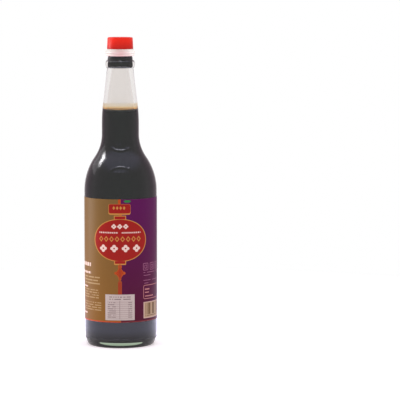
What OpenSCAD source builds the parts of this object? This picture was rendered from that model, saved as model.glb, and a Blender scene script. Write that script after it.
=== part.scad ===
// Tall glass bottle of dark soy sauce with a pour fitment, a red cap, a wrap label and a small facts sticker.
// Millimetres. +Z is up, the origin is the middle of the ring the bottle stands on, and the front faces -Y.

/* [Body] */
// Outside diameter of the straight body
body_d = 72; // [60:0.5:90]
// Height of the straight body's top edge, where the shoulder starts
body_top_z = 154; // [120:1:200]
// Thickness of the glass wall of the body and shoulder
wall = 2.8; // [2:0.1:4]

/* [Base] */
// Outside diameter of the flat ring the bottle stands on
bearing_d = 62.4; // [50:0.2:64]
// Width of that ring
bearing_w = 2.7; // [2:0.1:5]
// Height over which the heel rounds into the body wall
heel_h = 18; // [10:1:24]
// Height of the shallow dome pushed up under the base
push_up = 3.5; // [1:0.5:6]
// Thickness of the glass under the sauce
base_t = 5.5; // [3:0.5:8]
// Share of the rest of the heel's height over which the inside rounds into the wall
inner_heel_share = 0.55; // [0.4:0.05:0.8]

/* [Shoulder and neck] */
// Height of the shoulder, from the body to the neck
shoulder_h = 56; // [45:1:75]
// Share of the shoulder's bend that is its convex lower arc
shoulder_share = 0.6; // [0.4:0.05:0.7]
// Outside diameter of the neck at its foot
neck_d = 36.9; // [32:0.1:44]
// Thickness of the glass wall at the neck's foot
neck_wall = 2.9; // [2:0.1:4]
// Height of the straight lower part of the neck
neck_foot_h = 19.7; // [12:0.1:26]
// Height of the tapered part of the neck
neck_taper_h = 45.8; // [35:0.1:60]
// Outside diameter at the top of the taper
neck_top_d = 26; // [23:0.1:29]
// Length that is rounded off on each side of the taper's start
neck_soften = 18; // [5:1:20]

/* [Mouth] */
// Diameter of the straight bore through the mouth
bore_d = 16.3; // [13:0.1:19]
// Height of the round bead below the mouth
bead_h = 7.6; // [5:0.1:10]
// How far that bead stands out from the top of the taper
bead_out = 1.7; // [0.8:0.1:3]
// Height of the narrowing throat between the bead and the lip ring
throat_h = 4.8; // [3:0.1:8]
// Outside diameter of the lip ring that the pour fitment snaps over
lip_d = 26.6; // [25.5:0.1:28]
// Height of the lip ring
lip_h = 5.4; // [4:0.1:7]
// How far the lip ring overhangs the throat
lip_out = 1.6; // [1.2:0.1:2.2]

/* [Sauce] */
// Height of the sauce's level above the start of the neck's taper
level_rise = 4.5; // [-15:0.5:30]
// Height of the plug of sauce that clings in the bore under the pour fitment
cling_h = 12; // [6:0.5:13]

/* [Pour fitment] */
// Thickness of the white collar's wall outside the lip ring
collar_wall = 1.4; // [1.2:0.1:2.5]
// Thickness of the deck that closes over the lip
deck_t = 1; // [0.8:0.1:2]
// How far the collar reaches down past the lip ring
hook_h = 0.6; // [0.4:0.1:1.2]
// How far its hooked foot reaches in under the lip ring
hook_in = 1.2; // [0.4:0.1:1.2]
// Depth of the closed plug in the bore
plug_h = 5.7; // [3:0.1:7]
// Wall thickness of the plug and the spout
spout_t = 1.2; // [0.8:0.1:2]

/* [Cap] */
// Height of the red cap
cap_h = 11.5; // [10:0.1:15]
// Outside diameter of the cap's foot
cap_d = 26; // [24:0.1:29]
// Draft of the cap's side, the radius it loses from foot to top
cap_draft = 0.5; // [0:0.1:1]
// Thickness of the cap's wall and top
cap_t = 1.6; // [1:0.1:2.5]
// Radius of the cap's rounded top edge
cap_round = 1.1; // [0.5:0.1:2]

/* [Labels] */
// Distance from the top of the heel up to the label's lower edge
label_rise = 8.2; // [2:0.1:30]
// Distance from the start of the shoulder down to the label's upper edge
label_drop = 5.9; // [2:0.1:30]
// Thickness of the label
label_t = 0.15; // [0.1:0.05:0.3]
// Width of the facts sticker along the curve
sticker_w = 29.6; // [20:0.1:50]
// How far round the curve the sticker's middle stands to the right of the front
sticker_shift = -1; // [-20:0.5:20]
// Height of the facts sticker
sticker_h = 25.6; // [15:0.1:40]
// Distance from the label's lower edge up to the sticker's lower edge
sticker_rise = 2.2; // [1:0.1:20]
// Thickness of the sticker
sticker_t = 0.12; // [0.1:0.02:0.3]

/* [Clearances] */
// Gap between the cap's inside and the spout
cap_gap = 0.3; // [0.2:0.05:0.5]
// Room between the top of the spout and the inside of the cap
spout_gap = 1.2; // [0.5:0.1:3]

/* [Hidden] */
$fn = 96;
arc_steps = 12;
edge = 0.4;

body_r = body_d / 2;
bearing_r = bearing_d / 2;
neck_r = neck_d / 2;
neck_top_r = neck_top_d / 2;
bore_r = bore_d / 2;
bead_r = neck_top_r + bead_out;
lip_r = lip_d / 2;
throat_r = lip_r - lip_out;
collar_r = lip_r + collar_wall;
cap_r = cap_d / 2;
cap_in_r = cap_r - cap_draft - cap_t;
label_r = body_r + label_t;

shoulder_top_z = body_top_z + shoulder_h;
taper_z = shoulder_top_z + neck_foot_h;
bead_z = taper_z + neck_taper_h;
throat_z = bead_z + bead_h;
lip_z = throat_z + throat_h;
mouth_z = lip_z + lip_h;
level_z = taper_z + level_rise;
plug_z = mouth_z - plug_h;
collar_z = lip_z - hook_h;
deck_z = mouth_z + deck_t;
cap_top_z = deck_z + cap_h;
label_z = heel_h + label_rise;
label_top_z = body_top_z - label_drop;

// The shoulder bends out of the body in a convex arc and into the neck in a concave one, tangent to each other.
shoulder_in = body_r - neck_r;
shoulder_arcs = (shoulder_in * shoulder_in + shoulder_h * shoulder_h) / (2 * shoulder_in);
shoulder_turn = asin(shoulder_h / shoulder_arcs);
convex_r = shoulder_arcs * shoulder_share;
concave_r = shoulder_arcs - convex_r;

// Points along an arc about c, from angle a0 to angle a1, with radius rx across and ry up.
function oval(c, rx, ry, a0, a1) =
    [for (i = [0 : arc_steps]) let (a = a0 + (a1 - a0) * i / arc_steps) c + [rx * cos(a), ry * sin(a)]];

function arc(c, r, a0, a1) = oval(c, r, r, a0, a1);

// The corner b between a and c, rounded by a curve that leaves both sides at most cut away from b.
function soften(a, b, c, cut) =
    let (
        t = min(cut, 0.49 * norm(a - b), 0.49 * norm(c - b)),
        p = b + (a - b) / norm(a - b) * t,
        q = b + (c - b) / norm(c - b) * t
    )
    [for (i = [0 : arc_steps]) let (s = i / arc_steps)
        (1 - s) * (1 - s) * p + 2 * s * (1 - s) * b + s * s * q];

function reversed(points) = [for (i = [len(points) - 1 : -1 : 0]) points[i]];

// The shoulder's line at a depth inside the glass.
function shoulder(depth) = concat(
    arc([body_r - convex_r, body_top_z], convex_r - depth, 0, shoulder_turn),
    arc([neck_r + concave_r, shoulder_top_z], concave_r + depth, 180 + shoulder_turn, 180));

// Outside of the glass, from the middle of the base out and up to the mouth.
function glass_outside() = concat(
    oval([0, 0], bearing_r - bearing_w, push_up, 90, 0),
    oval([bearing_r, heel_h], body_r - bearing_r, heel_h, -90, 0),
    shoulder(0),
    soften([neck_r, shoulder_top_z], [neck_r, taper_z], [neck_top_r, bead_z], neck_soften),
    oval([neck_top_r, bead_z + bead_h / 2], bead_out, bead_h / 2, -90, 90),
    [[throat_r, lip_z]],
    arc([lip_r - edge, lip_z + edge], edge, -90, 0),
    arc([lip_r - 2 * edge, mouth_z - 2 * edge], 2 * edge, 0, 90));

// Inside of the glass, from the middle of the floor out and up to the mouth.
function glass_inside() =
    let (
        floor_r = bearing_r - wall,
        round_h = (heel_h - base_t) * inner_heel_share,
        foot = [neck_r - neck_wall, shoulder_top_z],
        bend = [neck_r - neck_wall, taper_z],
        throat = [bore_r, bead_z],
        mouth = [bore_r, mouth_z]
    )
    concat(
        oval([0, base_t], floor_r, push_up, 90, 0),
        oval([floor_r, base_t + round_h], body_r - wall - floor_r, round_h, -90, 0),
        [for (p = shoulder(wall)) if (p[0] > foot[0]) p],
        soften(foot, bend, throat, neck_soften),
        soften(bend, throat, mouth, bore_r / 2),
        arc([bore_r + edge, mouth_z - edge], edge, 180, 90));

// What the glass holds between two heights.
module held_inside(low, high) {
    intersection() {
        rotate_extrude() polygon(concat(glass_inside(), [[0, mouth_z]]));
        translate([0, 0, low]) cylinder(r = body_r, h = high - low);
    }
}

// A sheet stuck round a cylinder of radius r, angle degrees wide about the front.
module stuck_sheet(r, low, high, thick, angle) {
    rotate([0, 0, -90 - angle / 2])
        rotate_extrude(angle = angle)
            translate([r, low]) square([thick, high - low]);
}

module glass_bottle() {
    color([0.80, 0.87, 0.83, 0.4])
        rotate_extrude() polygon(concat(glass_outside(), reversed(glass_inside())));
}

module soy_sauce() {
    color([0.10, 0.05, 0.03]) held_inside(0, level_z);
}

// Sauce left in the mouth after pouring, held up against the fitment's plug.
module clinging_sauce() {
    color([0.12, 0.06, 0.04]) held_inside(plug_z - cling_h, plug_z);
}

// White fitment: a collar snapped over the lip ring, a closed plug in the bore and a spout for the cap.
module pour_collar() {
    groove_z = collar_z + 2.5;
    rim_out = 0.4;
    bulge = 0.9;
    spout_r = cap_in_r - cap_gap;
    spout_top_z = cap_top_z - cap_t - spout_gap;
    outside = concat(
        [[lip_r - hook_in, collar_z]],
        oval([collar_r - rim_out - 1.2, collar_z + 1.5], 1.2, 1.5, -80, 35),
        [[collar_r - bulge, groove_z]],
        oval([collar_r - bulge, groove_z + 1.3], bulge, 1.3, -70, 30),
        arc([lip_r - edge, deck_z - 2 * edge], 2 * edge, 20, 90));
    spout = [
        [spout_r, deck_z],
        [spout_r, spout_top_z],
        [spout_r - spout_t, spout_top_z],
        [spout_r - spout_t, deck_z],
        [bore_r - spout_t, deck_z],
        [bore_r - spout_t, plug_z + spout_t],
        [0, plug_z + spout_t]];
    inside = concat(
        [[0, plug_z], [bore_r, plug_z]],
        arc([bore_r + edge, mouth_z - edge], edge, 180, 90),
        reversed(arc([lip_r - 2 * edge, mouth_z - 2 * edge], 2 * edge, 0, 90)),
        [[lip_r, lip_z], [lip_r - hook_in, lip_z]]);
    color([0.95, 0.94, 0.93]) rotate_extrude() polygon(concat(outside, spout, inside));
}

// Red cap: a cup over the spout that stands on the collar's deck.
module cap() {
    top_r = cap_r - cap_draft;
    roof_z = cap_top_z - cap_t;
    color([0.90, 0.16, 0.12]) rotate_extrude() polygon(concat(
        [[cap_in_r, roof_z], [cap_in_r, deck_z]],
        arc([cap_r - edge, deck_z + edge], edge, -90, 0),
        arc([top_r - cap_round, cap_top_z - cap_round], cap_round, 0, 90),
        [[0, cap_top_z], [0, roof_z]]));
}

module wrap_label() {
    color([0.62, 0.47, 0.25]) stuck_sheet(body_r, label_z, label_top_z, label_t, 360);
}

module facts_sticker() {
    low = label_z + sticker_rise;
    degrees_per_mm = 180 / PI / label_r;
    color([0.87, 0.82, 0.81])
        rotate([0, 0, sticker_shift * degrees_per_mm])
            stuck_sheet(label_r, low, low + sticker_h, sticker_t, sticker_w * degrees_per_mm);
}

glass_bottle();
soy_sauce();
clinging_sauce();
pour_collar();
cap();
wrap_label();
facts_sticker();
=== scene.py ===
"""Looks of a tall clear bottle of dark soy sauce with its pour fitment, red cap and paper labels.

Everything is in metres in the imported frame: +Z is up, the bottle stands on z = 0 and the front of
its label faces -Y. Heights and widths come from the frame's boxes. Each class holds the further
sizes of its own piece, and each finish is a small frozen dataclass.
"""

import logging
import math
from dataclasses import dataclass, field
from enum import Enum

import bmesh
import bpy
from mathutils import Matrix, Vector


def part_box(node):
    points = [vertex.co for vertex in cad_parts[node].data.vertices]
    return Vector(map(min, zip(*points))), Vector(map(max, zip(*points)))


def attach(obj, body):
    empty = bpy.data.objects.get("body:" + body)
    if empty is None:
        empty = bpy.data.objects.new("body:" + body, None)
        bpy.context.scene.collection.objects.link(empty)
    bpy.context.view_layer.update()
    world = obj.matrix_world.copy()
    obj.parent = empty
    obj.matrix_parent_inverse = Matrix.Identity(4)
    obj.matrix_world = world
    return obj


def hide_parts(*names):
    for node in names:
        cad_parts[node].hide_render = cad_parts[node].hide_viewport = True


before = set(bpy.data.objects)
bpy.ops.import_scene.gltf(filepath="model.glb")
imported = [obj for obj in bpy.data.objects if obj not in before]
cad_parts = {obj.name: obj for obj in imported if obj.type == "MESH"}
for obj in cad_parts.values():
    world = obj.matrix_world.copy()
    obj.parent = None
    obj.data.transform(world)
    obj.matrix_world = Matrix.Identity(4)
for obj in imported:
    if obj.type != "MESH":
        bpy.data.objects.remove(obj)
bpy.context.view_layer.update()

LOG = logging.getLogger("soy_sauce_bottle")
MM = 0.001
BODY = "root"
TURN = 2 * math.pi
STUDS_ROUND = 88
STEPS_ROUND = 4 * STUDS_ROUND
SHARP = math.radians(38)
SHEET_MAP = "sheet"
GLUE = 0.01 * MM

Outline = list[Vector]
Colour = tuple[float, float, float]
Stops = tuple[tuple[float, Colour], ...]


class Slot(Enum):
    """The record's material slots."""

    GLASS = "clear_glass"
    SAUCE = "dark_sauce"
    WHITE = "white_plastic"
    RED = "red_plastic"
    LABEL = "label_paper"
    STICKER = "sticker_paper"


def tone(red: float, green: float, blue: float) -> Colour:
    """Linear colour of three display levels.

    Args:
        red: Red level, 0 to 255.
        green: Green level, 0 to 255.
        blue: Blue level, 0 to 255.

    Returns:
        The same colour as linear red, green and blue.
    """
    levels = (value / 255 for value in (red, green, blue))
    return tuple(v / 12.92 if v <= 0.04045 else ((v + 0.055) / 1.055) ** 2.4 for v in levels)


# Shader maths


class Value:
    """A number that varies over a surface: a socket that Python's operators work on."""

    def __init__(self, recipe: "Recipe", socket: bpy.types.NodeSocket) -> None:
        """Wraps one output socket of the recipe's node tree."""
        self.recipe = recipe
        self.socket = socket

    def maths(self, operation: str, *others: "Value | float", clamp: bool = False) -> "Value":
        """Adds one Math node with this value first.

        Args:
            operation: The Math node's operation.
            others: The node's other values.
            clamp: Whether the result is held between 0 and 1.

        Returns:
            The node's result.
        """
        settings = {"operation": operation, "use_clamp": clamp}
        inputs = dict(enumerate((self, *others)))
        return Value(self.recipe, self.recipe.node("ShaderNodeMath", settings, inputs).outputs[0])

    def __add__(self, other: "Value | float") -> "Value":
        """This plus other."""
        return self.maths("ADD", other)

    __radd__ = __add__

    def __sub__(self, other: "Value | float") -> "Value":
        """This minus other."""
        return self.maths("SUBTRACT", other)

    def __rsub__(self, other: float) -> "Value":
        """Other minus this."""
        return self.maths("MULTIPLY_ADD", -1.0, other)

    def __mul__(self, other: "Value | float") -> "Value":
        """This times other."""
        return self.maths("MULTIPLY", other)

    __rmul__ = __mul__

    def __truediv__(self, other: "Value | float") -> "Value":
        """This divided by other."""
        return self.maths("DIVIDE", other)

    def __pow__(self, power: float) -> "Value":
        """This to a power."""
        return self.maths("POWER", power)

    def __mod__(self, length: float) -> "Value":
        """What is left of this after whole lengths, never negative."""
        return self.maths("FLOORED_MODULO", length)

    def __and__(self, other: "Value") -> "Value":
        """Where both masks are set."""
        return self.maths("MINIMUM", other)

    def __or__(self, other: "Value") -> "Value":
        """Where either mask is set."""
        return self.maths("MAXIMUM", other)

    def __invert__(self) -> "Value":
        """Where the mask is not set."""
        return 1 - self

    def __abs__(self) -> "Value":
        """The size of this without its sign."""
        return self.maths("ABSOLUTE")

    def floor(self) -> "Value":
        """The whole number below this."""
        return self.maths("FLOOR")

    def under(self, limit: float, soft: float = 0.12) -> "Value":
        """A mask that is set where this is below the limit.

        Args:
            limit: Where the mask changes.
            soft: Width of the change.

        Returns:
            The mask, from 0 to 1.
        """
        return self.maths("MULTIPLY_ADD", -1 / soft, limit / soft + 0.5, clamp=True)

    def over(self, limit: float, soft: float = 0.12) -> "Value":
        """A mask that is set where this is above the limit, with a change as wide as soft."""
        return self.maths("MULTIPLY_ADD", 1 / soft, 0.5 - limit / soft, clamp=True)


Input = Value | bpy.types.NodeSocket | float | Colour


class Room:
    """A shader node tree, empty at first."""

    def __init__(self, tree: bpy.types.NodeTree) -> None:
        """Keeps and empties the tree."""
        self.tree = tree
        self.tree.nodes.clear()

    def fill(self, socket: bpy.types.NodeSocket, value: Input) -> None:
        """Gives one input socket its link or its constant."""
        if isinstance(value, Value):
            value = value.socket
        if isinstance(value, bpy.types.NodeSocket):
            self.tree.links.new(value, socket)
        elif isinstance(value, tuple) and socket.type == "RGBA":
            socket.default_value = (*value, 1.0)
        else:
            socket.default_value = value

    def node(
        self, kind: str, settings: dict | None = None, inputs: dict | None = None
    ) -> bpy.types.Node:
        """Adds one node.

        Args:
            kind: The node's type.
            settings: The node's own properties, set before its sockets.
            inputs: Values or links by the sockets' names or numbers.

        Returns:
            The new node.
        """
        made = self.tree.nodes.new(kind)
        for name, value in (settings or {}).items():
            setattr(made, name, value)
        for name, value in (inputs or {}).items():
            self.fill(made.inputs[name], value)
        return made

    def mix(self, amount: Input, first: Input, second: Input) -> bpy.types.NodeSocket:
        """A colour between two.

        Args:
            amount: 0 for the first colour and 1 for the second.
            first: A colour or a colour socket.
            second: A colour or a colour socket.

        Returns:
            The colour's socket.
        """
        settings = {"data_type": "RGBA", "clamp_factor": True}
        return self.node("ShaderNodeMix", settings, {0: amount, 6: first, 7: second}).outputs[2]

    def ramp(self, amount: Input, stops: Stops) -> bpy.types.NodeSocket:
        """A colour that changes from stop to stop.

        Args:
            amount: The place on the ramp, 0 to 1.
            stops: Places and their colours, in order.

        Returns:
            The colour's socket.
        """
        made = self.node("ShaderNodeValToRGB", None, {0: amount})
        elements = made.color_ramp.elements
        while len(elements) < len(stops):
            elements.new(0.5)
        for element, (place, colour) in zip(elements, stops):
            element.position = place
            element.color = (*colour, 1.0)
        return made.outputs[0]


class Recipe(Room):
    """The node tree of one material, from a Principled shader outwards."""

    def __init__(self, name: str) -> None:
        """Starts an empty material with its Principled shader and output.

        Args:
            name: The material's name.
        """
        self.material = bpy.data.materials.new(name)
        self.material.use_nodes = True
        super().__init__(self.material.node_tree)
        self.output = self.node("ShaderNodeOutputMaterial")
        self.shader = self.node("ShaderNodeBsdfPrincipled")
        self.tree.links.new(self.shader.outputs[0], self.output.inputs["Surface"])

    def set(self, **sockets: Input) -> None:
        """Sets the shader's sockets, named with underscores for spaces."""
        for name, value in sockets.items():
            self.fill(self.shader.inputs[name.replace("_", " ")], value)

    def place(self) -> tuple[Value, Value, Value]:
        """The surface point's X, Y and Z in millimetres."""
        point = self.node("ShaderNodeTexCoord").outputs["Object"]
        inputs = {0: point, "Scale": 1 / MM}
        scaled = self.node("ShaderNodeVectorMath", {"operation": "SCALE"}, inputs)
        split = self.node("ShaderNodeSeparateXYZ", None, {0: scaled.outputs[0]})
        return tuple(Value(self, out) for out in split.outputs)

    def sheet(self, width: float, height: float) -> tuple[Value, Value]:
        """Where a point lies on the flat sheet, in millimetres, by the sheet's own UV map.

        Args:
            width: The sheet's width in millimetres.
            height: The sheet's height in millimetres.

        Returns:
            The distance to the right of the sheet's middle and the height above its lower edge.
        """
        point = self.node("ShaderNodeUVMap", {"uv_map": SHEET_MAP}).outputs[0]
        split = self.node("ShaderNodeSeparateXYZ", None, {0: point})
        across = Value(self, split.outputs[0])
        up = Value(self, split.outputs[1])
        return (across - 0.5) * width, up * height

    def noise(self, scale: float, detail: float = 2.0, stretch: Colour = (1, 1, 1)) -> Value:
        """Smooth noise on Object coordinates.

        Args:
            scale: Repeats in a metre.
            detail: How many finer layers are added.
            stretch: How the pattern is squeezed along X, Y and Z.

        Returns:
            The noise, from 0 to 1 and about 0.5 in the middle.
        """
        point = self.node("ShaderNodeTexCoord").outputs["Object"]
        scaled = self.node("ShaderNodeMapping", None, {"Vector": point, "Scale": stretch}).outputs[0]
        inputs = {"Vector": scaled, "Scale": scale, "Detail": detail}
        return Value(self, self.node("ShaderNodeTexNoise", None, inputs).outputs[0])

    def chance(self, across: Value, up: Value) -> Value:
        """A different random number, from 0 to 1, for each pair of whole numbers."""
        cell = self.node("ShaderNodeCombineXYZ", None, {0: across, 1: up}).outputs[0]
        made = self.node("ShaderNodeTexWhiteNoise", None, {"Vector": cell})
        return Value(self, made.outputs["Value"])

    def bump(self, height: Value, strength: float, distance: float) -> None:
        """Raises the surface by a height map.

        Args:
            height: The map, 0 to 1.
            strength: How much of the effect is used.
            distance: The height of 1 in metres.
        """
        inputs = {"Strength": strength, "Distance": distance, "Height": height}
        self.set(Normal=self.node("ShaderNodeBump", None, inputs).outputs[0])


# Finishes


@dataclass(frozen=True)
class ClearGlass:
    """Flint glass: warm in its walls, green and frosted underneath with a painted highlight along the
    green's top, dark where sauce wets it.

    Heights and radii are in millimetres. A soft edge is as wide as its name with _soft says.
    """

    level: float
    wall: Colour = (0.848, 0.818, 0.801)
    base: Colour = (0.20, 0.28, 0.19)
    base_painted_highlight: Colour = (0.36, 0.45, 0.33)
    wetted: Colour = (0.05, 0.045, 0.045)
    wetted_haze: float = 0.12
    base_top: float = 5.5
    base_over: float = 2.0
    base_under: float = 1.5
    base_soft: float = 2.0
    wetted_foot: float = 9.0
    wetted_foot_soft: float = 2.0
    wetted_below: float = 1.2
    wetted_top_soft: float = 0.8
    frosted: float = 0.5
    frosted_top: float = 3.7
    frosted_top_soft: float = 0.2
    frosted_edge: float = 31.5
    frosted_edge_soft: float = 0.6

    def make(self) -> bpy.types.Material:
        """The glass material."""
        recipe = Recipe("clear_glass")
        right, back, up = recipe.place()
        thick = up.under(self.base_top + self.base_over, self.base_soft)
        # Painted highlight: the upper part of the green base is mixed to a lighter green.
        rim = up.over(self.base_top - self.base_under, self.base_soft)
        green = recipe.mix(rim, self.base, self.base_painted_highlight)
        out = (right * right + back * back) ** 0.5
        underneath = up.under(self.frosted_top, self.frosted_top_soft)
        stipple = underneath & out.under(self.frosted_edge, self.frosted_edge_soft)
        above_foot = up.over(self.wetted_foot, self.wetted_foot_soft)
        wet = above_foot & up.under(self.level - self.wetted_below, self.wetted_top_soft)
        recipe.set(
            Base_Color=recipe.mix(wet, recipe.mix(thick, self.wall, green), self.wetted),
            Transmission_Weight=1.0,
            IOR=1.5,
            Roughness=(stipple * self.frosted) | (wet * self.wetted_haze),
        )
        return recipe.material


@dataclass(frozen=True)
class DarkSauce:
    """Sauce too deep to see through. It never shines by itself, because the glass in front does."""

    deep: Colour = (0.0035, 0.0030, 0.0028)

    def make(self) -> bpy.types.Material:
        """The material of the sauce's dark bulk."""
        recipe = Recipe("dark_sauce")
        cloud = recipe.noise(60.0)
        recipe.set(
            Base_Color=recipe.mix(cloud * 0.5, self.deep, tuple(1.6 * c for c in self.deep)),
            Roughness=0.25,
            Specular_IOR_Level=0.0,
        )
        return recipe.material


@dataclass(frozen=True)
class ThinSauce:
    """Sauce in a film thin enough to glow amber."""

    name: str
    density: float
    seen_through: Colour = (0.97, 0.70, 0.10)

    def make(self) -> bpy.types.Material:
        """The material of the sauce's thin edges."""
        recipe = Recipe(self.name)
        recipe.set(
            Base_Color=(1.0, 1.0, 1.0), Transmission_Weight=1.0, IOR=1.36, Roughness=0.0
        )
        inputs = {"Color": self.seen_through, "Density": self.density}
        volume = recipe.node("ShaderNodeVolumeAbsorption", None, inputs).outputs[0]
        recipe.tree.links.new(volume, recipe.output.inputs["Volume"])
        return recipe.material


@dataclass(frozen=True)
class MouldedPlastic:
    """Moulded plastic with a soft gloss, a faint orange peel and painted shade that darkens it
    towards its foot.
    """

    name: str
    colour: Colour
    # The colour at the foot, darker as painted shade.
    shade: Colour
    low: float
    high: float
    roughness: float = 0.32
    glow: float = 0.0
    clear: float = 0.0

    def make(self) -> bpy.types.Material:
        """The plastic's material."""
        recipe = Recipe(self.name)
        _, _, up = recipe.place()
        # Painted shade: the colour darkens from the top down to the foot, with faint random flow
        # marks.
        foot = up.under((self.low + self.high) / 2 / MM, (self.high - self.low) / MM)
        painted_shade_and_flow = foot + (recipe.noise(90.0, 3.0, (1.0, 1.0, 0.25)) - 0.5) * 0.3
        recipe.set(
            Base_Color=recipe.mix(painted_shade_and_flow, self.colour, self.shade),
            Roughness=recipe.noise(900.0) * 0.12 + (self.roughness - 0.06),
            Specular_IOR_Level=0.12,
            Transmission_Weight=self.clear,
            Subsurface_Weight=self.glow,
            Subsurface_Radius=(1.0, 0.6, 0.5),
            Subsurface_Scale=1.5 * MM,
        )
        recipe.bump(recipe.noise(700.0), 0.15, 0.03 * MM)
        return recipe.material


@dataclass(frozen=True)
class Inks:
    """The printed label's inks, as flat colours."""

    gold: Colour = tone(112, 82, 42)
    low_gold: Colour = tone(122, 82, 32)
    purple: Colour = tone(80, 10, 68)
    low_purple: Colour = tone(70, 8, 32)
    red: Colour = tone(141, 24, 18)
    bright_gold: Colour = tone(178, 120, 56)
    orange: Colour = tone(166, 68, 20)
    tassel: Colour = tone(144, 62, 28)
    cream: Colour = tone(212, 184, 168)
    gold_small: Colour = tone(158, 128, 86)
    purple_small: Colour = tone(146, 88, 112)
    rose: Colour = tone(168, 108, 104)
    panel_edge: Colour = tone(186, 152, 138)
    panel: Colour = tone(160, 132, 102)
    green: Colour = tone(40, 112, 56)
    border: Colour = tone(176, 70, 36)
    low_border: Colour = tone(108, 38, 38)
    bars: Colour = tone(106, 80, 50)


class Print:
    """Masks of simple printed shapes on a flat sheet.

    Every place and size is in millimetres, to the right of the sheet's middle and up.
    """

    def __init__(self, recipe: Recipe, across: Value, up: Value) -> None:
        """Keeps the sheet's coordinates.

        Args:
            recipe: The material's recipe.
            across: Distance to the right of the sheet's middle.
            up: Height on the sheet.
        """
        self.recipe = recipe
        self.across = across
        self.up = up

    def block(self, left: float, right: float, low: float, high: float) -> Value:
        """A filled rectangle."""
        wide = abs(self.across - (left + right) / 2).under((right - left) / 2)
        return wide & abs(self.up - (low + high) / 2).under((high - low) / 2)

    def reach(self, x: float, y: float, half_w: float, half_h: float, corner: float) -> Value:
        """Distance outside a rounded rectangle, negative inside.

        Args:
            x: The middle's distance to the right.
            y: The middle's height.
            half_w: Half the width.
            half_h: Half the height.
            corner: Radius of the corners.

        Returns:
            The distance in millimetres.
        """
        dx = abs(self.across - x) - (half_w - corner)
        dy = abs(self.up - y) - (half_h - corner)
        out_x = dx.maths("MAXIMUM", 0.0)
        out_y = dy.maths("MAXIMUM", 0.0)
        outside = (out_x * out_x + out_y * out_y) ** 0.5
        return outside + (dx | dy).maths("MINIMUM", 0.0) - corner

    def plate(self, x: float, y: float, half_w: float, half_h: float, corner: float) -> Value:
        """A filled rectangle with round corners."""
        return self.reach(x, y, half_w, half_h, corner).under(0.0)

    def frame(
        self, x: float, y: float, half_w: float, half_h: float, corner: float, line: float
    ) -> Value:
        """The outline of a rectangle with round corners, as wide as line."""
        return abs(self.reach(x, y, half_w - line / 2, half_h - line / 2, corner)).under(line / 2)

    def oval(self, x: float, y: float, half_w: float, half_h: float) -> Value:
        """How far out a point lies from an ellipse's middle, with 1 on its edge."""
        dx = (self.across - x) / half_w
        dy = (self.up - y) / half_h
        return (dx * dx + dy * dy) ** 0.5

    def disc(self, x: float, y: float, half_w: float, half_h: float) -> Value:
        """A filled ellipse."""
        return self.oval(x, y, half_w, half_h).under(1.0, 0.12 / half_h)

    def diamond(self, x: float, y: float, half_w: float, half_h: float) -> Value:
        """A filled lozenge."""
        slant = abs(self.across - x) / half_w + abs(self.up - y) / half_h
        return slant.under(1.0, 0.2 / half_h)

    def lines(
        self, left: float, right: float, top: float, rows: int, pitch: float, seed: float
    ) -> Value:
        """Rows of short dashes with uneven gaps, like the grey of small print.

        Args:
            left: The rows' left end.
            right: The rows' right end.
            top: Height of the first row's upper edge.
            rows: How many rows there are.
            pitch: Distance from row to row.
            seed: Makes the gaps of one group differ from another's.

        Returns:
            The mask.
        """
        low = top - rows * pitch
        inside = self.block(left, right, low + 0.3 * pitch, top)
        row = (self.up - top) % pitch
        dash = (self.across / 1.1).floor() + seed
        gap = self.recipe.chance(dash, ((self.up - top) / pitch).floor())
        return inside & row.over(0.6 * pitch) & gap.over(0.16, 0.02)


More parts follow.
